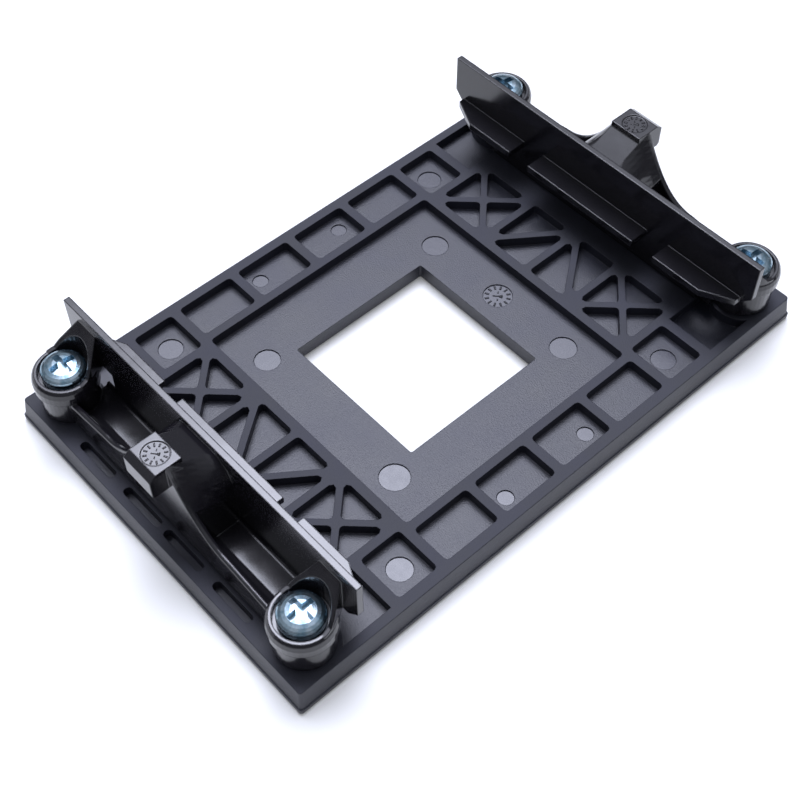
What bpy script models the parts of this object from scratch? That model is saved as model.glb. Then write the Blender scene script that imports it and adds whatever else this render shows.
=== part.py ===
"""Desktop processor-cooler retention set: a moulded backplate with four
threaded inserts, two clip brackets and four cross-recess screws.

Frame: origin at the centre of the backplate's underside, +Z up, +Y from the
near bracket to the far one.  All driving sizes are in millimetres below.
"""
import math

import bmesh
import bpy
from mathutils import Matrix, Vector

MM = 0.001

# hole pattern in the circuit board
HOLE_X = 27.0
HOLE_Y = 45.0

# backplate
PLATE_T = 4.4
PLATE_TOP_X = 32.4
PLATE_TOP_Y = 50.4
PLATE_FLARE = 0.6
PLATE_LIP = 0.7
PLATE_CORNER_R = 0.5
POCKET_DEPTH = 1.75
POCKET_R = 0.6
RECESS_X = 22.5
RECESS_Y = 22.6
WINDOW_X = 13.15
WINDOW_Y = 13.1
CORNER_CELL = (22.55, 30.6, 24.15, 31.35)
SIDE_CELL_X = (23.95, 30.7)
SIDE_CELL_Y = ((0.8, 10.85), (12.4, 22.5))
TRUSS_Y = (24.2, 35.4)
TRUSS_MID_X = (0.65, 8.95)
TRUSS_BOX_X = (10.25, 21.1)
TRUSS_RIB = 1.1
FOOT_POCKET_X = (22.55, 30.9)
FOOT_POCKET_Y = 33.1
FOOT_PAD_R = 5.0
STRIP_Y = (47.7, 49.1)
STRIP_X = ((0.6, 9.0), (11.8, 19.8))
MARK_DEPTH = 0.2
CORNER_MARK = (26.55, 27.55, 2.0)
SMALL_MARK = (28.1, 8.35, 1.3)
FLOOR_MARKS = ((-14.7, 17.8, 2.2), (0.0, 17.8, 2.4), (14.5, 17.8, 2.2),
               (-14.7, -17.8, 2.1), (14.7, -17.8, 2.4))

# threaded insert
INSERT_R = 2.5
INSERT_BORE_R = 1.75
INSERT_FLANGE_R = 3.7
INSERT_FLANGE_Z = (0.5, 2.0)
INSERT_TOP = 8.9
FIT_GAP = 0.3

# bracket, heights above the backplate's rib tops
WALL_IN = 38.9
WALL_OUT = 39.9
WALL_TOP = 14.75
WALL_X = 32.2
WALL_END_LOW = 8.2
WALL_SKIRT_X = 22.6
TROUGH_TOP = 1.6
TROUGH_BOTTOM = 0.4
TROUGH_X = 25.0
LIP_FILLET = 2.2
WALL_FILLET = 0.5
FLANGE_IN = 35.2
FLANGE_TOP = 7.3
FLANGE_BOTTOM = 6.1
FLANGE_MID_X = 11.4
FLANGE_SIDE_X = (15.7, 25.0)
FLANGE_TIP = (30.2, 37.8)
LIP_IN = 46.3
LIP_OUT = 47.3
LIP_TOP = 6.6
LIP_FALL = 0.15
LIP_ROUND = 0.35
TOWER_TOP = 17.0
TOWER_HALF = 2.9
TOWER_FOOT = 14.0
TOWER_SWEEP = 2.2
CORE_HALF = 7.0
CORE_SHOULDER = 8.0
CORE_BACK_TOP = 13.7
TAB_IN = 44.6
TAB_OUT = 48.9
NOSE_OUT = 50.0
NOSE_TOP = 16.2
NOSE_LOW = 13.0
HOOK_FACE = 12.6
COLLAR_R = 4.95
COLLAR_RIM_R = 4.4
COLLAR_LOW = 5.2
COLLAR_SHOULDER = 6.6
COLLAR_TOP = 7.8
GUSSET_HALF = 1.9
GUSSET_TOP = 13.0
GUSSET_FRONT_Y = 43.7
FOOT_R = 4.5
FOOT_BOTTOM = 0.3
FOOT_BORE_R = 2.8
FOOT_BORE_TOP = 5.3
SHANK_HOLE_R = 2.1
WELL_R = 3.95
WELL_FLOOR = 6.7

DIAL_R = 2.0
DIAL_DEPTH = 0.15

# screw
HEAD_R = 3.4
HEAD_LOW = 7.0
HEAD_RIM = 1.05
HEAD_H = 2.3
SHANK_R = 1.42
SHANK_L = 9.5
SLOT_LONG = 2.05
SLOT_WIDE = 0.5
SLOT_DEPTH = 1.25

SEG = 32
SMOOTH = math.radians(32)


def new_object(name, bm, material=None, cutter=False):
    """Turn a bmesh into an object; cutters stay out of the render."""
    bmesh.ops.recalc_face_normals(bm, faces=bm.faces)
    mesh = bpy.data.meshes.new(name)
    bm.to_mesh(mesh)
    bm.free()
    obj = bpy.data.objects.new(name, mesh)
    bpy.context.scene.collection.objects.link(obj)
    if material:
        mesh.materials.append(material)
    if cutter:
        obj.hide_render = True
        obj.display_type = 'WIRE'
    return obj


def make_material(name, colour, roughness, metallic=0.0):
    mat = bpy.data.materials.new(name)
    mat.use_nodes = True
    shader = mat.node_tree.nodes["Principled BSDF"]
    shader.inputs["Base Color"].default_value = (*colour, 1.0)
    shader.inputs["Roughness"].default_value = roughness
    shader.inputs["Metallic"].default_value = metallic
    return mat


def add_prism(bm, outline, low, high, frame=None):
    """Close a prism over an outline given in mm, from low to high."""
    frame = frame or Matrix.Identity(4)
    rings = []
    for level in (low, high):
        rings.append([bm.verts.new(frame @ Vector((x * MM, y * MM, level * MM)))
                      for x, y in outline])
    count = len(outline)
    bm.faces.new(rings[0][::-1])
    bm.faces.new(rings[1])
    for i in range(count):
        j = (i + 1) % count
        bm.faces.new((rings[0][i], rings[0][j], rings[1][j], rings[1][i]))


def add_turned(bm, centre, profile, segments=SEG):
    """Close a solid turned about a vertical axis; profile is (radius, z) in mm."""
    rings = []
    for radius, level in profile:
        rings.append([bm.verts.new(((centre[0] + radius * math.cos(2 * math.pi * k / segments)) * MM,
                                    (centre[1] + radius * math.sin(2 * math.pi * k / segments)) * MM,
                                    level * MM)) for k in range(segments)])
    bm.faces.new(rings[0][::-1])
    bm.faces.new(rings[-1])
    for low, high in zip(rings[:-1], rings[1:]):
        for k in range(segments):
            j = (k + 1) % segments
            bm.faces.new((low[k], low[j], high[j], high[k]))


def rectangle(x0, x1, y0, y1):
    return [(x0, y0), (x1, y0), (x1, y1), (x0, y1)]


def inset(points, distances):
    """Move each edge of a convex outline inwards by its own distance."""
    area = sum(a[0] * b[1] - b[0] * a[1] for a, b in zip(points, points[1:] + points[:1]))
    if area < 0:
        points = points[::-1]
        distances = distances[-2::-1] + distances[-1:]
    lines = []
    for a, b, gap in zip(points, points[1:] + points[:1], distances):
        length = math.hypot(b[0] - a[0], b[1] - a[1])
        nx, ny = -(b[1] - a[1]) / length, (b[0] - a[0]) / length
        lines.append((nx, ny, nx * a[0] + ny * a[1] + gap))
    result = []
    for (a1, b1, c1), (a2, b2, c2) in zip(lines[-1:] + lines[:-1], lines):
        det = a1 * b2 - a2 * b1
        result.append(((c1 * b2 - c2 * b1) / det, (a1 * c2 - a2 * c1) / det))
    return result


def rounded(points, radius, steps=2):
    """Replace each corner of an outline with an arc of the given radius."""
    result = []
    for before, corner, after in zip(points[-1:] + points[:-1], points, points[1:] + points[:1]):
        a = Vector(before) - Vector(corner)
        b = Vector(after) - Vector(corner)
        half = a.angle(b) / 2
        run = min(radius / math.tan(half), 0.45 * a.length, 0.45 * b.length)
        arc_r = run * math.tan(half)
        middle = Vector(corner) + (a.normalized() + b.normalized()).normalized() * arc_r / math.sin(half)
        start = Vector(corner) + a.normalized() * run - middle
        end = Vector(corner) + b.normalized() * run - middle
        sweep = start.angle_signed(end)
        for k in range(steps + 1):
            turn = -sweep * k / steps
            point = Vector((start.x * math.cos(turn) - start.y * math.sin(turn),
                            start.x * math.sin(turn) + start.y * math.cos(turn)))
            result.append(tuple(middle + point))
    return result


def boolean(target, tool, operation):
    mod = target.modifiers.new(operation.lower(), 'BOOLEAN')
    mod.operation = operation
    mod.solver = 'EXACT'
    mod.object = tool


def shade(obj):
    obj.data.shade_smooth()
    obj.data.set_sharp_from_angle(angle=SMOOTH)


for old in list(bpy.data.objects):
    bpy.data.objects.remove(old)

plate_plastic = make_material("glass_filled_nylon", (0.055, 0.058, 0.075), 0.62)
bracket_plastic = make_material("gloss_black_polycarbonate", (0.014, 0.014, 0.016), 0.22)
insert_metal = make_material("turned_brass", (0.62, 0.47, 0.22), 0.32, 1.0)
screw_metal = make_material("zinc_plated_steel", (0.74, 0.80, 0.84), 0.24, 1.0)


# ---------------------------------------------------------------- backplate
def build_backplate():
    """Slab with flared sides, ribbed pockets, open middle and four post pads."""
    bm = bmesh.new()
    levels = ((0.0, PLATE_FLARE), (PLATE_LIP, PLATE_FLARE), (PLATE_LIP, PLATE_FLARE * 0.75),
              (PLATE_T, 0.0))
    rings = []
    for level, flare in levels:
        x, y = PLATE_TOP_X + flare, PLATE_TOP_Y + flare
        outline = rounded(rectangle(-x, x, -y, y), PLATE_CORNER_R, 4)
        rings.append([bm.verts.new((px * MM, py * MM, level * MM)) for px, py in outline])
    bm.faces.new(rings[0][::-1])
    bm.faces.new(rings[-1])
    for low, high in zip(rings[:-1], rings[1:]):
        for i in range(len(low)):
            j = (i + 1) % len(low)
            bm.faces.new((low[i], low[j], high[j], high[i]))
    plate = new_object("backplate", bm, plate_plastic)

    pockets = bmesh.new()
    floor = PLATE_T - POCKET_DEPTH
    above = PLATE_T + 1.0
    outlines = [rectangle(-RECESS_X, RECESS_X, -RECESS_Y, RECESS_Y)]
    for sx in (-1, 1):
        for sy in (-1, 1):
            x0, x1, y0, y1 = CORNER_CELL
            outlines.append(rectangle(*sorted((sx * x0, sx * x1)), *sorted((sy * y0, sy * y1))))
            for y0, y1 in SIDE_CELL_Y:
                outlines.append(rectangle(*sorted(sx * x for x in SIDE_CELL_X),
                                          *sorted((sy * y0, sy * y1))))
            for x0, x1 in STRIP_X:
                outlines.append(rectangle(*sorted((sx * x0, sx * x1)),
                                          *sorted(sy * y for y in STRIP_Y)))
            outlines.extend(truss_cells(sx, sy))
    for outline in outlines:
        add_prism(pockets, rounded(outline, POCKET_R), floor, above)
    for sx in (-1, 1):
        for sy in (-1, 1):
            add_prism(pockets, foot_pocket(sx, sy), floor, above)
    boolean(plate, new_object("cut_pockets", pockets, cutter=True), 'DIFFERENCE')

    openings = bmesh.new()
    x, y = WINDOW_X, WINDOW_Y
    add_prism(openings, rounded(rectangle(-x, x, -y, y), 0.3, 2), -1.0, above)
    for sx in (-1, 1):
        for sy in (-1, 1):
            centre = (sx * HOLE_X, sy * HOLE_Y)
            add_turned(openings, centre,
                       ((INSERT_FLANGE_R + FIT_GAP, -1.0),
                        (INSERT_FLANGE_R + FIT_GAP, INSERT_FLANGE_Z[1] + FIT_GAP),
                        (INSERT_R + FIT_GAP, INSERT_FLANGE_Z[1] + FIT_GAP),
                        (INSERT_R + FIT_GAP, above)))
    boolean(plate, new_object("cut_openings", openings, cutter=True), 'DIFFERENCE')

    marks = bmesh.new()
    discs = list(FLOOR_MARKS)
    for sx in (-1, 1):
        for sy in (-1, 1):
            for mx, my, radius in (CORNER_MARK, SMALL_MARK):
                discs.append((sx * mx, sy * my, radius))
    for mx, my, radius in discs:
        add_turned(marks, (mx, my), ((radius, floor - MARK_DEPTH), (radius, above)), 20)
    boolean(plate, new_object("cut_marks", marks, cutter=True), 'DIFFERENCE')
    shade(plate)
    return plate


def truss_cells(sx, sy):
    """Triangular cells of the braced band, for one quarter of the plate."""
    y0, y1 = TRUSS_Y
    half = TRUSS_RIB / 2
    cells = []
    x0, x1 = TRUSS_MID_X
    cells.append(inset([(x0, y0), (x1, y0), (x0, y1)], [0, half, 0]))
    cells.append(inset([(x1, y0), (x1, y1), (x0, y1)], [0, 0, half]))
    x0, x1 = TRUSS_BOX_X
    corners = rectangle(x0, x1, y0, y1)
    middle = ((x0 + x1) / 2, (y0 + y1) / 2)
    for a, b in zip(corners, corners[1:] + corners[:1]):
        cells.append(inset([a, b, middle], [0, half, half]))
    mirrored = []
    for cell in cells:
        points = [(sx * x, sy * y) for x, y in cell]
        mirrored.append(points if sx * sy > 0 else points[::-1])
    return mirrored


def foot_pocket(sx, sy):
    """Pocket that stops at the round pad under a bracket foot."""
    x0, x1 = FOOT_POCKET_X
    points = [(x0, FOOT_POCKET_Y), (x1, FOOT_POCKET_Y)]
    first = math.atan2(-math.sqrt(FOOT_PAD_R ** 2 - (x1 - HOLE_X) ** 2), x1 - HOLE_X)
    last = math.atan2(-math.sqrt(FOOT_PAD_R ** 2 - (x0 - HOLE_X) ** 2), x0 - HOLE_X)
    steps = 12
    for k in range(steps + 1):
        turn = first + (last - first) * k / steps
        points.append((HOLE_X + FOOT_PAD_R * math.cos(turn), HOLE_Y + FOOT_PAD_R * math.sin(turn)))
    points = [(sx * x, sy * y) for x, y in points]
    return points if sx * sy > 0 else points[::-1]


# ------------------------------------------------------------------ inserts
def build_insert(name, sx, sy):
    """Flanged sleeve: held in the plate, standing up through the board hole."""
    bm = bmesh.new()
    low, step = INSERT_FLANGE_Z
    profile = [(INSERT_BORE_R, low), (INSERT_FLANGE_R, low), (INSERT_FLANGE_R, step),
               (INSERT_R, step), (INSERT_R, INSERT_TOP - 0.3), (INSERT_R - 0.3, INSERT_TOP),
               (INSERT_BORE_R + 0.2, INSERT_TOP), (INSERT_BORE_R, INSERT_TOP - 0.2)]
    rings = []
    for k in range(SEG):
        turn = 2 * math.pi * k / SEG
        rings.append([bm.verts.new((r * math.cos(turn) * MM, r * math.sin(turn) * MM, z * MM))
                      for r, z in profile])
    for k in range(SEG):
        a, b = rings[k], rings[(k + 1) % SEG]
        for i in range(len(profile)):
            j = (i + 1) % len(profile)
            bm.faces.new((a[i], b[i], b[j], a[j]))
    obj = new_object(name, bm, insert_metal)
    obj.location = (sx * HOLE_X * MM, sy * HOLE_Y * MM, 0)
    shade(obj)
    return obj


# ----------------------------------------------------------------- brackets
def rim_height(x):
    """Height of the lip's edge: nearly level, then sweeping up to the hook."""
    t = (TOWER_FOOT - abs(x)) / (TOWER_FOOT - TOWER_HALF)
    if t <= 0:
        return LIP_TOP - LIP_FALL * (abs(x) - TOWER_FOOT)
    return LIP_TOP + (TOWER_TOP - LIP_TOP) * min(t, 1.0) ** TOWER_SWEEP


def add_loft(bm, rings):
    """Close a solid over rings of points, each given in mm in the part's frame."""
    rings = [[bm.verts.new(Vector(point) * MM) for point in ring] for ring in rings]
    count = len(rings[0])
    bm.faces.new(rings[0])
    bm.faces.new(rings[-1][::-1])
    for a, b in zip(rings[:-1], rings[1:]):
        for i in range(count):
            j = (i + 1) % count
            bm.faces.new((a[i], a[j], b[j], b[i]))


def core_rings():
    """Core behind the hook: rim-shaped at the lip, a broad arch at the wall."""
    steps = 8
    front, back = [], []
    for k in range(steps + 1):
        x = CORE_HALF + (TOWER_HALF - CORE_HALF) * k / steps
        front.append((x, rim_height(x)))
        turn = math.pi / 2 * k / steps
        back.append((TOWER_HALF + (CORE_HALF - TOWER_HALF) * math.cos(turn),
                     CORE_SHOULDER + (CORE_BACK_TOP - CORE_SHOULDER) * math.sin(turn)))
    rings = []
    for k in range(steps // 2 + 1):
        share = 2 * k / steps
        y = LIP_IN + 0.3 + (WALL_OUT - LIP_IN - 0.6) * share
        side = [(a[0] + (b[0] - a[0]) * share, a[1] + (b[1] - a[1]) * share)
                for a, b in zip(front, back)]
        right = [(CORE_HALF, TROUGH_BOTTOM + 0.3)] + side
        rings.append([(x, y, PLATE_T + z) for x, z in right + [(-x, z) for x, z in right[::-1]]])
    return rings


def trough_section(top):
    """Section (y, height) of the trough floor, its fillets and the rounded lip."""
    arc = [k * math.pi / 8 for k in range(5)]
    lip = [(LIP_OUT, top - LIP_ROUND), (LIP_OUT - 0.13, top - 0.13), ((LIP_IN + LIP_OUT) / 2, top),
           (LIP_IN + 0.13, top - 0.13), (LIP_IN, top - LIP_ROUND)]
    outer = [(LIP_IN - LIP_FILLET * (1 - math.cos(a)),
              TROUGH_TOP + LIP_FILLET * (1 - math.sin(a))) for a in arc]
    inner = [(WALL_OUT + WALL_FILLET * (1 - math.sin(a)),
              TROUGH_TOP + WALL_FILLET * (1 - math.cos(a))) for a in arc]
    root = WALL_OUT - 0.4
    return ([(root, TROUGH_BOTTOM), (LIP_OUT - 0.5, TROUGH_BOTTOM), (LIP_OUT, TROUGH_BOTTOM + 0.5)]
            + lip + outer + inner + [(root, TROUGH_TOP + WALL_FILLET)])


def trough_rings():
    """Trough sections along X, its lip rising to the hook."""
    steps = 14
    half = [TROUGH_X, (TROUGH_X + TOWER_FOOT) / 2]
    half += [TOWER_FOOT + (TOWER_HALF - TOWER_FOOT) * k / steps for k in range(steps + 1)]
    return [[(x, y, PLATE_T + z) for y, z in trough_section(rim_height(x))]
            for x in half + [-x for x in half[::-1]]]


def gusset_outline(centre):
    """Plan of the web that spreads from the wall to the sides of a boss collar."""
    x, y = centre
    radius = COLLAR_RIM_R + 0.2
    back = y - WALL_OUT
    away = math.hypot(GUSSET_HALF, back)
    start = -math.atan2(back, GUSSET_HALF) + math.acos(radius / away)
    points = [(x + GUSSET_HALF, WALL_OUT - 0.4)]
    steps = 8
    for k in range(steps + 1):
        turn = start * (1 - k / steps)
        points.append((x + radius * math.cos(turn), y + radius * math.sin(turn)))
    return points + [(2 * x - px, py) for px, py in points[::-1]]


def side_frame():
    """Outline (x, height) extruded outwards along y, heights above the ribs."""
    return Matrix(((1, 0, 0, 0), (0, 0, 1, 0), (0, 1, 0, PLATE_T * MM), (0, 0, 0, 1)))


def cross_frame():
    """Outline (y, height) extruded along x, heights above the ribs."""
    return Matrix(((0, 0, 1, 0), (1, 0, 0, 0), (0, 1, 0, PLATE_T * MM), (0, 0, 0, 1)))


def up_frame():
    return Matrix.Translation((0, 0, PLATE_T * MM))


def build_bracket(name, turned):
    """Wall, board flange, trough with raised lip, hook tower and two bosses."""
    bm = bmesh.new()
    end, tip, skirt = WALL_X, FLANGE_TIP[0], WALL_SKIRT_X
    half = [(skirt, TROUGH_BOTTOM), (skirt, FLANGE_BOTTOM), (tip, FLANGE_BOTTOM),
            (end, WALL_END_LOW), (end, WALL_TOP)]
    add_prism(bm, half + [(-x, z) for x, z in half[::-1]], WALL_IN, WALL_OUT, side_frame())
    bracket = new_object(name, bm, bracket_plastic)

    pieces = []
    bm = bmesh.new()
    add_loft(bm, trough_rings())
    pieces.append(bm)

    root = WALL_IN + 0.5
    flange = [rectangle(-FLANGE_MID_X, FLANGE_MID_X, FLANGE_IN, root)]
    for sx in (-1, 1):
        side = [(FLANGE_SIDE_X[0], FLANGE_IN), (FLANGE_SIDE_X[1], FLANGE_IN), FLANGE_TIP,
                (tip, root), (FLANGE_SIDE_X[0], root)]
        flange.append([(sx * x, y) for x, y in side[::sx]])
    bm = bmesh.new()
    for outline in flange:
        add_prism(bm, outline, FLANGE_BOTTOM, FLANGE_TOP, up_frame())
    pieces.append(bm)

    for sx in (-1, 1):
        centre = (sx * HOLE_X, HOLE_Y)
        bm = bmesh.new()
        add_prism(bm, gusset_outline(centre), FLANGE_BOTTOM, GUSSET_TOP + 1.0, up_frame())
        gusset = new_object(f"{name}_gusset_{sx}", bm, cutter=True)
        bm = bmesh.new()
        slope = [(WALL_OUT - 1.0, GUSSET_TOP), (WALL_OUT, GUSSET_TOP),
                 (GUSSET_FRONT_Y, COLLAR_TOP + 0.3), (HOLE_Y + 1.0, COLLAR_TOP - 0.2),
                 (HOLE_Y + 1.0, GUSSET_TOP + 2.0), (WALL_OUT - 1.0, GUSSET_TOP + 2.0)]
        add_prism(bm, slope, centre[0] - COLLAR_R - 1.0, centre[0] + COLLAR_R + 1.0, cross_frame())
        boolean(gusset, new_object(f"{name}_slope_{sx}", bm, cutter=True), 'DIFFERENCE')
        boolean(bracket, gusset, 'UNION')
        bm = bmesh.new()
        profile = ((FOOT_R - 0.25, FOOT_BOTTOM), (FOOT_R, FOOT_BOTTOM + 0.25),
                   (FOOT_R, COLLAR_LOW - 0.4), (COLLAR_R, COLLAR_LOW), (COLLAR_R, COLLAR_SHOULDER),
                   (COLLAR_R - 0.2, COLLAR_SHOULDER + 0.75), (COLLAR_RIM_R, COLLAR_TOP))
        add_turned(bm, centre, [(r, PLATE_T + z) for r, z in profile], 40)
        pieces.append(bm)

    bm = bmesh.new()
    nose = [(TAB_IN, HOOK_FACE), (NOSE_OUT - 0.4, HOOK_FACE), (NOSE_OUT, NOSE_LOW),
            (NOSE_OUT, NOSE_TOP), (TAB_OUT, TOWER_TOP), (TAB_IN, TOWER_TOP)]
    add_prism(bm, nose, -TOWER_HALF, TOWER_HALF, cross_frame())
    pieces.append(bm)
    bm = bmesh.new()
    add_loft(bm, core_rings())
    pieces.append(bm)

    for k, bm in enumerate(pieces):
        boolean(bracket, new_object(f"{name}_piece_{k}", bm, cutter=True), 'UNION')

    bm = bmesh.new()
    for sx in (-1, 1):
        add_turned(bm, (sx * HOLE_X, HOLE_Y),
                   ((FOOT_BORE_R, PLATE_T - 1.0), (FOOT_BORE_R, PLATE_T + FOOT_BORE_TOP),
                    (SHANK_HOLE_R, PLATE_T + FOOT_BORE_TOP), (SHANK_HOLE_R, PLATE_T + WELL_FLOOR),
                    (WELL_R, PLATE_T + WELL_FLOOR), (WELL_R, PLATE_T + WALL_TOP + 3.0)))
    boolean(bracket, new_object(name + "_bores", bm, cutter=True), 'DIFFERENCE')
    bm = bmesh.new()
    top = PLATE_T + TOWER_TOP
    add_turned(bm, (0, (TAB_IN + TAB_OUT) / 2), ((DIAL_R, top - DIAL_DEPTH), (DIAL_R, top + 1.0)), 28)
    boolean(bracket, new_object(name + "_dial", bm, cutter=True), 'DIFFERENCE')
    if turned:
        bracket.rotation_euler = (0, 0, math.pi)
        for obj in list(bpy.data.objects):
            if obj.name.startswith(name + "_"):
                obj.rotation_euler = (0, 0, math.pi)
    shade(bracket)
    return bracket


# ------------------------------------------------------------------- screws
def build_screw(name, sx, sy):
    """Pan head with a cross recess on a plain core shank."""
    bm = bmesh.new()
    low = HEAD_LOW
    profile = [(SHANK_R - 0.5, low - SHANK_L), (SHANK_R, low - SHANK_L + 0.7), (SHANK_R, low),
               (HEAD_R, low), (HEAD_R, low + HEAD_RIM)]
    steps = 6
    for k in range(1, steps + 1):
        t = k / steps * math.pi / 2 * 0.86
        profile.append((HEAD_R * math.cos(t), low + HEAD_RIM + (HEAD_H - HEAD_RIM) * math.sin(t)))
    profile.append((0.35, low + HEAD_H))
    add_turned(bm, (0, 0), profile)
    obj = new_object(name, bm, screw_metal)
    bm = bmesh.new()
    cross = []
    for dx, dy in ((1, 0), (0, 1), (-1, 0), (0, -1)):
        cross.append((SLOT_LONG * dx + SLOT_WIDE * dy, SLOT_LONG * dy - SLOT_WIDE * dx))
        cross.append((SLOT_LONG * dx - SLOT_WIDE * dy, SLOT_LONG * dy + SLOT_WIDE * dx))
        cross.append((SLOT_WIDE * (dx - dy), SLOT_WIDE * (dx + dy)))
    add_prism(bm, cross, low + HEAD_H - SLOT_DEPTH, low + HEAD_H + 1.0)
    tool = new_object(name + "_cross_tool", bm, cutter=True)
    place = (sx * HOLE_X * MM, sy * HOLE_Y * MM, PLATE_T * MM)
    obj.location = place
    tool.location = place
    boolean(obj, tool, 'DIFFERENCE')
    shade(obj)
    return obj


build_backplate()
for tag, sx, sy in (("near_left", -1, -1), ("near_right", 1, -1), ("far_left", -1, 1),
                    ("far_right", 1, 1)):
    build_insert("insert_" + tag, sx, sy)
    build_screw("screw_" + tag, sx, sy)
build_bracket("bracket_far", False)
build_bracket("bracket_near", True)
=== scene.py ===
import math

import bpy
from mathutils import Matrix, Vector


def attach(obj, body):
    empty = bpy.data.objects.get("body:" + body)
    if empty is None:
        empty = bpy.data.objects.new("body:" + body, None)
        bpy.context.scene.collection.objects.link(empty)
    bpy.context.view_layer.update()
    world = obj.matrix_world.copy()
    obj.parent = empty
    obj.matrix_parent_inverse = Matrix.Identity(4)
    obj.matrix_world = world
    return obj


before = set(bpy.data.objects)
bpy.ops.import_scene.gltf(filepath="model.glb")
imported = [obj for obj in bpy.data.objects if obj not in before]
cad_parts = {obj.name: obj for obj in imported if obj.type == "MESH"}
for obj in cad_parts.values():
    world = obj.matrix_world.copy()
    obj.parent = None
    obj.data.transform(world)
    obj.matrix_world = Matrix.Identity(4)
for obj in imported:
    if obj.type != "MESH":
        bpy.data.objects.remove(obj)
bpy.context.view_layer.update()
scene = bpy.context.scene

# ---------------------------------------------------------------- backplate
# The ribbed plate that sits behind the circuit board, with an open middle.
# It is injection-moulded from black glass-filled nylon in a spark-eroded tool,
# which leaves an even, fine matt grain over every face.


def from_hex(text):
    """An sRGB colour such as #30323A as linear RGBA."""
    parts = [int(text[k:k + 2], 16) / 255 for k in (1, 3, 5)]
    return [c / 12.92 if c <= 0.04045 else ((c + 0.055) / 1.055) ** 2.4 for c in parts] + [1.0]


def add_node(tree, kind, settings=None, **links):
    """One shader node with its properties, socket values and incoming links."""
    node = tree.nodes.new(kind)
    for key, value in (settings or {}).items():
        if isinstance(key, str) and hasattr(node, key):
            setattr(node, key, value)
        else:
            node.inputs[key].default_value = value
    for key, source in links.items():
        name = key.replace("_", " ")
        slot = int(name[2:]) if name.startswith("in") and name[2:].isdigit() else name
        tree.links.new(source, node.inputs[slot])
    return node


def blank_material(name):
    """A material with only its Principled shader and output left in."""
    material = bpy.data.materials.new(name)
    material.use_nodes = True
    return material, material.node_tree, material.node_tree.nodes["Principled BSDF"]


def dress(name, material):
    """Give a carried-over part its finish."""
    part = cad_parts[name]
    part.data.materials.clear()
    part.data.materials.append(material)
    return part


NYLON_DARK = "#1C1D26"
NYLON_LIGHT = "#262733"
NYLON_ROUGHNESS = 0.38
RIB_ROUGHNESS = 0.62         # the other half of the tool has a coarser finish
RIB_TOP_FROM = 0.0041        # the coarser finish starts just under the rib tops
RIB_TOP_TO = 0.0043
NYLON_EDGE = 0.00018         # corner radius of the tool's cutters
NYLON_IOR = 1.53
SPARK_GRAIN_PER_M = 5200     # pits about 0.2 mm across
SPARK_GRAIN_STRENGTH = 0.9
SPARK_GRAIN_DEPTH = 0.00005
FLOW_MARK_PER_M = 160        # clouding about 6 mm across where the melt cooled
FLOW_MARK_SPAN = (0.3, 0.7)  # where the dark tint ends and the light one is full
FLOW_MARK_GLOSS = 0.12       # roughness added by the palest clouds

nylon, tree, shader = blank_material("glass_filled_nylon_spark_eroded")
place = add_node(tree, "ShaderNodeTexCoord").outputs["Object"]
clouds = add_node(tree, "ShaderNodeTexNoise", {"Scale": FLOW_MARK_PER_M, "Detail": 4.0},
                  Vector=place)
grain = add_node(tree, "ShaderNodeTexNoise", {"Scale": SPARK_GRAIN_PER_M, "Detail": 2.0},
                 Vector=place)
tint = add_node(tree, "ShaderNodeValToRGB", None, Fac=clouds.outputs["Fac"])
tint.color_ramp.elements[0].position = FLOW_MARK_SPAN[0]
tint.color_ramp.elements[0].color = from_hex(NYLON_DARK)
tint.color_ramp.elements[1].position = FLOW_MARK_SPAN[1]
tint.color_ramp.elements[1].color = from_hex(NYLON_LIGHT)
height = add_node(tree, "ShaderNodeSeparateXYZ", Vector=place).outputs["Z"]
land = add_node(tree, "ShaderNodeMapRange",
                {"From Min": RIB_TOP_FROM, "From Max": RIB_TOP_TO,
                 "To Min": NYLON_ROUGHNESS, "To Max": RIB_ROUGHNESS}, Value=height)
gloss = add_node(tree, "ShaderNodeMath", {"operation": 'MULTIPLY_ADD', 1: FLOW_MARK_GLOSS},
                 in0=clouds.outputs["Fac"], in2=land.outputs["Result"])
soft_edge = add_node(tree, "ShaderNodeBevel", {"samples": 6, "Radius": NYLON_EDGE})
pits = add_node(tree, "ShaderNodeBump",
                {"Strength": SPARK_GRAIN_STRENGTH, "Distance": SPARK_GRAIN_DEPTH},
                Height=grain.outputs["Fac"], Normal=soft_edge.outputs["Normal"])
tree.links.new(tint.outputs["Color"], shader.inputs["Base Color"])
tree.links.new(gloss.outputs["Value"], shader.inputs["Roughness"])
tree.links.new(pits.outputs["Normal"], shader.inputs["Normal"])
shader.inputs["IOR"].default_value = NYLON_IOR
dress("backplate", nylon)

# -------------------------------------------------------- ejector-pin faces
# Round marks left in the plate where steel pins pushed it out of the mould.
# The polished pin ends leave them smoother than the grained floor around.
PIN_FACE_Z = 0.00247
PIN_FACE_RELIEF = 0.00002    # each one is a thin disc with a sloping rim
PIN_FACE_GAP = 0.00004
PIN_FACE_RIM = 0.00002
PIN_FACE_SIDES = 48
PIN_SCUFF_PER_M = 900.0      # faint scuffs about 1 mm across
PIN_SCUFF_STRENGTH = 0.12
PIN_SCUFF_DEPTH = 0.00003
PIN_ROUGHNESS = (0.22, 0.32)
PIN_FACES = [(-0.0147, 0.0178, 0.0022), (0.0, 0.0178, 0.0024), (0.0145, 0.0178, 0.0022),
             (-0.0147, -0.0178, 0.0021), (0.0147, -0.0178, 0.0024)]
for sx in (-1, 1):
    for sy in (-1, 1):
        PIN_FACES.append((sx * 0.02655, sy * 0.02755, 0.0020))
        PIN_FACES.append((sx * 0.0281, sy * 0.00835, 0.0013))

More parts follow.
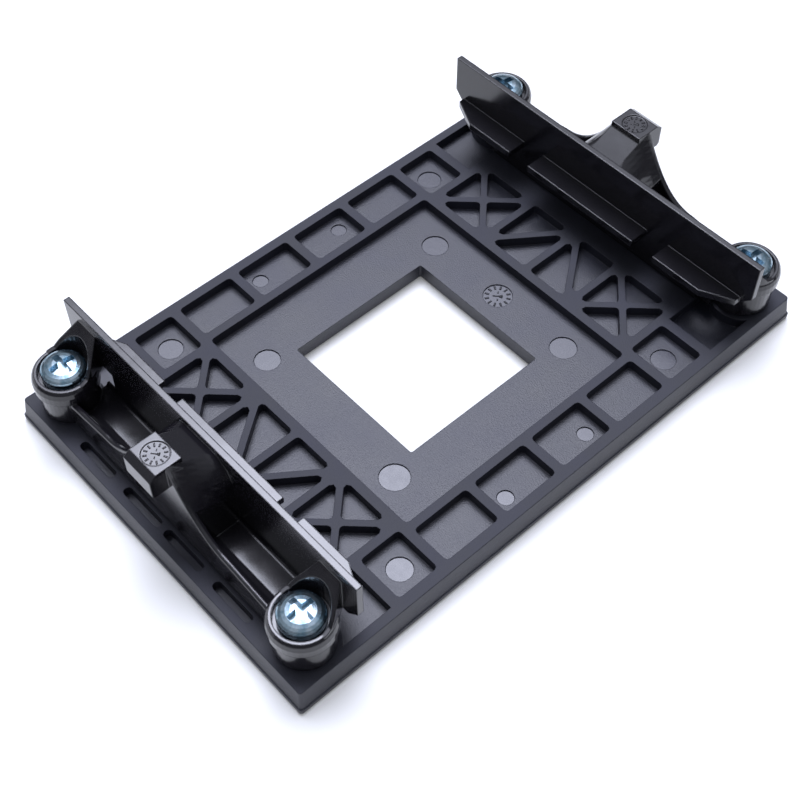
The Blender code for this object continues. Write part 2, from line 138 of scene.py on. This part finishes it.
smooth_nylon, tree, shader = blank_material("glass_filled_nylon_pin_polished")
place = add_node(tree, "ShaderNodeTexCoord").outputs["Object"]
clouds = add_node(tree, "ShaderNodeTexNoise", {"Scale": PIN_SCUFF_PER_M, "Detail": 3.0},
                  Vector=place)
gloss = add_node(tree, "ShaderNodeMapRange",
                 {"To Min": PIN_ROUGHNESS[0], "To Max": PIN_ROUGHNESS[1]},
                 Value=clouds.outputs["Fac"])
scuffs = add_node(tree, "ShaderNodeBump",
                  {"Strength": PIN_SCUFF_STRENGTH, "Distance": PIN_SCUFF_DEPTH},
                  Height=clouds.outputs["Fac"])
tree.links.new(gloss.outputs["Result"], shader.inputs["Roughness"])
tree.links.new(scuffs.outputs["Normal"], shader.inputs["Normal"])
shader.inputs["Base Color"].default_value = from_hex(NYLON_LIGHT)
shader.inputs["IOR"].default_value = NYLON_IOR

points, faces = [], []
for x, y, radius in PIN_FACES:
    low = len(points)
    high = low + PIN_FACE_SIDES
    for level, r in ((-PIN_FACE_RELIEF, radius - PIN_FACE_GAP),
                     (0.0, radius - PIN_FACE_GAP - PIN_FACE_RIM)):
        for k in range(PIN_FACE_SIDES):
            angle = math.tau * k / PIN_FACE_SIDES
            points.append((x + r * math.cos(angle), y + r * math.sin(angle), PIN_FACE_Z + level))
    faces.append([high + k for k in range(PIN_FACE_SIDES)])
    faces.append([high - 1 - k for k in range(PIN_FACE_SIDES)])
    for k in range(PIN_FACE_SIDES):
        after = (k + 1) % PIN_FACE_SIDES
        faces.append((low + k, low + after, high + after, high + k))
mesh = bpy.data.meshes.new("ejector_pin_faces")
mesh.from_pydata(points, [], faces)
mesh.materials.append(smooth_nylon)
pin_faces = bpy.data.objects.new("ejector_pin_faces", mesh)
scene.collection.objects.link(pin_faces)
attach(pin_faces, "base")

# --------------------------------------------------------- plate date dial
# The print of a round insert in the mould, twelve short raised marks around
# an arrow, standing a tenth of a millimetre off the pin face.
DIAL_MARKS = 12
DIAL_RELIEF = 0.0001
DIAL_DRAFT = 0.02            # the marks' sides lean in; this and the rest are in radii
DIAL_TICK = (0.62, 0.94, 0.075)
DIAL_ARROW = ((0.7, -0.36, 0.36, 0.05), (1.05, 0.12, 0.36, 0.045), (0.35, 0.12, 0.36, 0.045),
              (2.27, 0.24, 0.44, 0.045), (5.41, 0.24, 0.44, 0.045))
PLATE_DIAL_CENTRE = (0.0, 0.0178)
PLATE_DIAL_R = 0.0023
DIAL_BLACK = "#15161C"
DIAL_SPECKLE_PER_M = 2500.0  # specks about 0.4 mm across
DIAL_ROUGHNESS = (0.6, 0.8)


def dial(name, centre, radius, floor, material, body):
    """Raised marks and a short arrow inside a circle, on a level face."""
    bars = [(math.tau * k / DIAL_MARKS, *DIAL_TICK) for k in range(DIAL_MARKS)]
    bars += DIAL_ARROW
    points, faces = [], []
    for angle, near, far, half in bars:
        start = len(points)
        along = Vector((math.cos(angle), math.sin(angle), 0)) * radius
        across = Vector((-math.sin(angle), math.cos(angle), 0)) * radius
        for level, shrink in ((0.0, 0.0), (DIAL_RELIEF, DIAL_DRAFT)):
            for reach, side in ((near + shrink, -half + shrink), (far - shrink, -half + shrink),
                                (far - shrink, half - shrink), (near + shrink, half - shrink)):
                points.append(Vector((*centre, floor + level)) + along * reach + across * side)
        for face in ((3, 2, 1, 0), (4, 5, 6, 7), (0, 1, 5, 4), (1, 2, 6, 5), (2, 3, 7, 6),
                     (3, 0, 4, 7)):
            faces.append([start + k for k in face])
    mesh = bpy.data.meshes.new(name)
    mesh.from_pydata(points, [], faces)
    mesh.materials.append(material)
    marks = bpy.data.objects.new(name, mesh)
    scene.collection.objects.link(marks)
    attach(marks, body)


dark_nylon, tree, shader = blank_material("glass_filled_nylon_dial_print")
place = add_node(tree, "ShaderNodeTexCoord").outputs["Object"]
speckle = add_node(tree, "ShaderNodeTexNoise", {"Scale": DIAL_SPECKLE_PER_M, "Detail": 2.0},
                   Vector=place)
gloss = add_node(tree, "ShaderNodeMapRange",
                 {"To Min": DIAL_ROUGHNESS[0], "To Max": DIAL_ROUGHNESS[1]},
                 Value=speckle.outputs["Fac"])
tree.links.new(gloss.outputs["Result"], shader.inputs["Roughness"])
shader.inputs["Base Color"].default_value = from_hex(DIAL_BLACK)
shader.inputs["IOR"].default_value = NYLON_IOR
dial("plate_date_dial", PLATE_DIAL_CENTRE, PLATE_DIAL_R, PIN_FACE_Z, dark_nylon, "base")

# ------------------------------------------------------------------ inserts
# Four threaded sleeves turned from brass bar and pressed into the plate;
# they stand up through the board and take the bracket screws.
BRASS = "#B99A5B"
BRASS_SHADE = "#9C7D43"
BRASS_ROUGHNESS = 0.28
TURNING_SCALE = 1500.0       # a wave of this scale puts the tool marks 0.21 mm apart
TURNING_STRENGTH = 0.2
TURNING_DEPTH = 0.00002
TARNISH_PER_M = 700.0        # patches about 1.4 mm across

brass, tree, shader = blank_material("turned_brass")
place = add_node(tree, "ShaderNodeTexCoord").outputs["Object"]
rings = add_node(tree, "ShaderNodeTexWave",
                 {"bands_direction": "Z", "Scale": TURNING_SCALE, "Distortion": 0.4},
                 Vector=place)
tarnish = add_node(tree, "ShaderNodeTexNoise", {"Scale": TARNISH_PER_M, "Detail": 3.0},
                   Vector=place)
tint = add_node(tree, "ShaderNodeValToRGB", None, Fac=tarnish.outputs["Fac"])
tint.color_ramp.elements[0].color = from_hex(BRASS_SHADE)
tint.color_ramp.elements[1].color = from_hex(BRASS)
marks = add_node(tree, "ShaderNodeBump",
                 {"Strength": TURNING_STRENGTH, "Distance": TURNING_DEPTH},
                 Height=rings.outputs["Fac"])
tree.links.new(tint.outputs["Color"], shader.inputs["Base Color"])
tree.links.new(marks.outputs["Normal"], shader.inputs["Normal"])
shader.inputs["Metallic"].default_value = 1.0
shader.inputs["Roughness"].default_value = BRASS_ROUGHNESS
for corner in ("near_left", "near_right", "far_left", "far_right"):
    dress("insert_" + corner, brass)

# ----------------------------------------------------------------- brackets
# Two identical clip brackets, one turned half round, moulded from black
# polycarbonate in a polished tool: dark, glossy, with soft parting edges.
POLYCARBONATE = "#161519"
POLYCARBONATE_ROUGHNESS = (0.10, 0.24)
POLYCARBONATE_IOR = 1.58
MOULDED_EDGE = 0.00028
POLISH_WAVE_PER_M = 420      # slow ripple, about 2.4 mm, left by hand polishing
POLISH_WAVE_STRENGTH = 0.12
POLISH_WAVE_DEPTH = 0.0001
HANDLING_PER_M = 240.0       # dull patches about 4 mm across, from handling

gloss_black, tree, shader = blank_material("polished_black_polycarbonate")
place = add_node(tree, "ShaderNodeTexCoord").outputs["Object"]
ripple = add_node(tree, "ShaderNodeTexNoise", {"Scale": POLISH_WAVE_PER_M, "Detail": 1.0},
                  Vector=place)
handling = add_node(tree, "ShaderNodeTexNoise", {"Scale": HANDLING_PER_M, "Detail": 5.0},
                    Vector=place)
gloss = add_node(tree, "ShaderNodeMapRange",
                 {"To Min": POLYCARBONATE_ROUGHNESS[0], "To Max": POLYCARBONATE_ROUGHNESS[1]},
                 Value=handling.outputs["Fac"])
soft_edge = add_node(tree, "ShaderNodeBevel", {"samples": 6, "Radius": MOULDED_EDGE})
waves = add_node(tree, "ShaderNodeBump",
                 {"Strength": POLISH_WAVE_STRENGTH, "Distance": POLISH_WAVE_DEPTH},
                 Height=ripple.outputs["Fac"], Normal=soft_edge.outputs["Normal"])
tree.links.new(gloss.outputs["Result"], shader.inputs["Roughness"])
tree.links.new(waves.outputs["Normal"], shader.inputs["Normal"])
shader.inputs["Base Color"].default_value = from_hex(POLYCARBONATE)
shader.inputs["IOR"].default_value = POLYCARBONATE_IOR
for side in ("near", "far"):
    dress("bracket_" + side, gloss_black)

# ------------------------------------------------------- bracket date dials
# Each hook's flat top carries the print of the mould's round date insert, in
# the same gloss black as the bracket it is moulded with.
TAB_MIDDLE = 0.04675
TAB_DIAL_R = 0.00185
TAB_DIAL_FLOOR = 0.02125
for side, way in (("near", -1), ("far", 1)):
    dial(side + "_date_dial", (0.0, way * TAB_MIDDLE), TAB_DIAL_R, TAB_DIAL_FLOOR, gloss_black,
         side + "_bracket")

# ------------------------------------------------------------------- screws
# Four 6-32 pan-head screws of cold-headed steel with a cross recess,
# zinc plated and passivated to a pale blue-white.
ZINC = "#AEBEC8"
ZINC_BLUE = "#7F9CAB"
ZINC_ROUGHNESS = 0.24
BLOOM_PER_M = 900.0          # uneven passivation, patches about 1 mm across
BLOOM_SPAN = (0.35, 0.65)
BLOOM_STRENGTH = 0.25
BLOOM_DEPTH = 0.00005

zinc, tree, shader = blank_material("blue_white_zinc_plated_steel")
place = add_node(tree, "ShaderNodeTexCoord").outputs["Object"]
bloom = add_node(tree, "ShaderNodeTexNoise", {"Scale": BLOOM_PER_M, "Detail": 4.0},
                 Vector=place)
tint = add_node(tree, "ShaderNodeValToRGB", None, Fac=bloom.outputs["Fac"])
tint.color_ramp.elements[0].position = BLOOM_SPAN[0]
tint.color_ramp.elements[0].color = from_hex(ZINC_BLUE)
tint.color_ramp.elements[1].position = BLOOM_SPAN[1]
tint.color_ramp.elements[1].color = from_hex(ZINC)
dents = add_node(tree, "ShaderNodeBump", {"Strength": BLOOM_STRENGTH, "Distance": BLOOM_DEPTH},
                 Height=bloom.outputs["Fac"])
tree.links.new(tint.outputs["Color"], shader.inputs["Base Color"])
tree.links.new(dents.outputs["Normal"], shader.inputs["Normal"])
shader.inputs["Metallic"].default_value = 1.0
shader.inputs["Roughness"].default_value = ZINC_ROUGHNESS
for corner in ("near_left", "near_right", "far_left", "far_right"):
    dress("screw_" + corner, zinc)

# ------------------------------------------------------------ screw threads
# The rolled thread, seen when a screw is lifted: a V ridge, 32 turns to the
# inch, wound round the plain core of each shank.
THREAD_PITCH = 0.00079
THREAD_CORE = 0.00138
THREAD_CREST = 0.00168
THREAD_FROM = 0.0028
THREAD_TO = 0.0098
HOLE_X, HOLE_Y = 0.027, 0.045
THREAD_ROOT_HALF = 0.36      # half widths of the ridge, in pitches
THREAD_CREST_HALF = 0.06
THREAD_RUN_OUT = 20          # steps over which the ridge dies away at each end
THREAD_CREASE = math.radians(30)
STEPS_PER_TURN = 28
turns = (THREAD_TO - THREAD_FROM) / THREAD_PITCH
count = int(turns * STEPS_PER_TURN)
for corner, sx, sy in (("near_left", -1, -1), ("near_right", 1, -1), ("far_left", -1, 1),
                       ("far_right", 1, 1)):
    points, faces = [], []
    for k in range(count + 1):
        turn = math.tau * k / STEPS_PER_TURN
        level = THREAD_FROM + THREAD_PITCH * k / STEPS_PER_TURN
        fade = min(1.0, k / THREAD_RUN_OUT, (count - k) / THREAD_RUN_OUT)
        crest = THREAD_CORE + (THREAD_CREST - THREAD_CORE) * fade
        for r, rise in ((THREAD_CORE, -THREAD_ROOT_HALF), (crest, -THREAD_CREST_HALF),
                        (crest, THREAD_CREST_HALF), (THREAD_CORE, THREAD_ROOT_HALF)):
            points.append((sx * HOLE_X + r * math.cos(turn), sy * HOLE_Y + r * math.sin(turn),
                           level + rise * THREAD_PITCH))
        if k:
            b = 4 * k
            faces += [(b - 4 + i, b - 4 + (i + 1) % 4, b + (i + 1) % 4, b + i) for i in range(4)]
    faces += [(3, 2, 1, 0), tuple(4 * count + i for i in range(4))]
    mesh = bpy.data.meshes.new("thread_" + corner)
    mesh.from_pydata(points, [], faces)
    mesh.shade_smooth()
    mesh.set_sharp_from_angle(angle=THREAD_CREASE)
    mesh.materials.append(zinc)
    thread = bpy.data.objects.new("thread_" + corner, mesh)
    scene.collection.objects.link(thread)
    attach(thread, corner + "_screw")

# -------------------------------------------------------- table and lighting
# A white sweep under the object, and a world that holds both lights: a pale
# room all round and one round cloth diffuser high up behind the object.
FLOOR_REACH = 3.0
FLOOR_DROP = 0.0004          # a hair under the plate, so the two never share a plane
PAPER = "#E6E6E4"
PAPER_GLOW = 0.12            # the sweep is lit from below as well
PAPER_ROUGHNESS = 0.9
floor_mesh = bpy.data.meshes.new("white_sweep")
floor_mesh.from_pydata([(-FLOOR_REACH, -FLOOR_REACH, 0), (FLOOR_REACH, -FLOOR_REACH, 0),
                        (FLOOR_REACH, FLOOR_REACH, 0), (-FLOOR_REACH, FLOOR_REACH, 0)],
                       [], [(0, 1, 2, 3)])
floor = bpy.data.objects.new("white_sweep", floor_mesh)
floor.location.z = -FLOOR_DROP
scene.collection.objects.link(floor)
paper, tree, shader = blank_material("white_paper")
shader.inputs["Base Color"].default_value = from_hex(PAPER)
shader.inputs["Emission Color"].default_value = (1.0, 1.0, 1.0, 1.0)
shader.inputs["Emission Strength"].default_value = PAPER_GLOW
shader.inputs["Roughness"].default_value = PAPER_ROUGHNESS
floor_mesh.materials.append(paper)

ROOM_LOW = 0.08              # the darker room near the table
ROOM_HIGH = 0.55             # its pale ceiling
ROOM_SPAN = (0.05, 0.75)     # heights, as sines, between which one turns to the other
ROOM_TINT = (0.86, 0.90, 1.0, 1)
DIFFUSER_TINT = (0.90, 0.93, 1.10)
DIFFUSER_POWER = 13.0
DIFFUSER_AZIMUTH = 232
DIFFUSER_ELEVATION = 67
# Brightness against the cosine of the angle from the middle: an even centre
# and a long soft edge.
DIFFUSER_FALL = ((0.82, 0.0), (0.89, 0.07), (0.945, 0.18), (0.966, 0.66), (0.982, 1.0))
azimuth, elevation = math.radians(DIFFUSER_AZIMUTH), math.radians(DIFFUSER_ELEVATION)
toward_diffuser = (math.sin(azimuth) * math.cos(elevation),
                   -math.cos(azimuth) * math.cos(elevation), math.sin(elevation))
world = bpy.data.worlds.new("soft_room")
world.use_nodes = True
tree = world.node_tree
ray = add_node(tree, "ShaderNodeTexCoord").outputs["Generated"]
height = add_node(tree, "ShaderNodeSeparateXYZ", Vector=ray)
fade = add_node(tree, "ShaderNodeMapRange",
                {"From Min": ROOM_SPAN[0], "From Max": ROOM_SPAN[1],
                 "To Min": ROOM_LOW, "To Max": ROOM_HIGH},
                Value=height.outputs["Z"])
room = tree.nodes["Background"]
room.inputs["Color"].default_value = ROOM_TINT
tree.links.new(fade.outputs["Result"], room.inputs["Strength"])
near_axis = add_node(tree, "ShaderNodeVectorMath",
                     {"operation": 'DOT_PRODUCT', 1: toward_diffuser}, in0=ray)
cloth = add_node(tree, "ShaderNodeValToRGB", None, Fac=near_axis.outputs["Value"])
while len(cloth.color_ramp.elements) < len(DIFFUSER_FALL):
    cloth.color_ramp.elements.new(1.0)
for stop, (place, level) in zip(cloth.color_ramp.elements, DIFFUSER_FALL):
    stop.position = place
    stop.color = [level * c for c in DIFFUSER_TINT] + [1.0]
diffuser = add_node(tree, "ShaderNodeBackground", {"Strength": DIFFUSER_POWER},
                    Color=cloth.outputs["Color"])
both = add_node(tree, "ShaderNodeAddShader", None, in0=room.outputs["Background"],
                in1=diffuser.outputs["Background"])
tree.links.new(both.outputs["Shader"], tree.nodes["World Output"].inputs["Surface"])
scene.world = world

# ------------------------------------------------------------------- camera
# Looks down on one long corner from a little over 200 mm away.
VIEW_AZIMUTH = 48.09
VIEW_ELEVATION = 53.51
VIEW_ROLL = -0.37
VIEW_DISTANCE = 0.21013
VIEW_AIM = Vector((0.00605, -0.00928, 0.0044))
SENSOR_MM = 36.0
LENS_MM = 63.135
SHIFT_X = 0.0025
SHIFT_Y = 0.00375
CLIP_START = 0.01

camera = bpy.data.objects.new("camera", bpy.data.cameras.new("camera"))
camera.data.sensor_width = SENSOR_MM
camera.data.lens = LENS_MM
camera.data.shift_x = SHIFT_X
camera.data.shift_y = SHIFT_Y
camera.data.clip_start = CLIP_START
azimuth, elevation = math.radians(VIEW_AZIMUTH), math.radians(VIEW_ELEVATION)
back = Vector((math.sin(azimuth) * math.cos(elevation),
               -math.cos(azimuth) * math.cos(elevation), math.sin(elevation)))
turn = back.to_track_quat('Z', 'Y').to_matrix().to_4x4()
turn = turn @ Matrix.Rotation(math.radians(VIEW_ROLL), 4, 'Z')
camera.matrix_world = Matrix.Translation(VIEW_AIM + back * VIEW_DISTANCE) @ turn
scene.collection.objects.link(camera)
scene.camera = camera
scene.view_settings.view_transform = 'Standard'
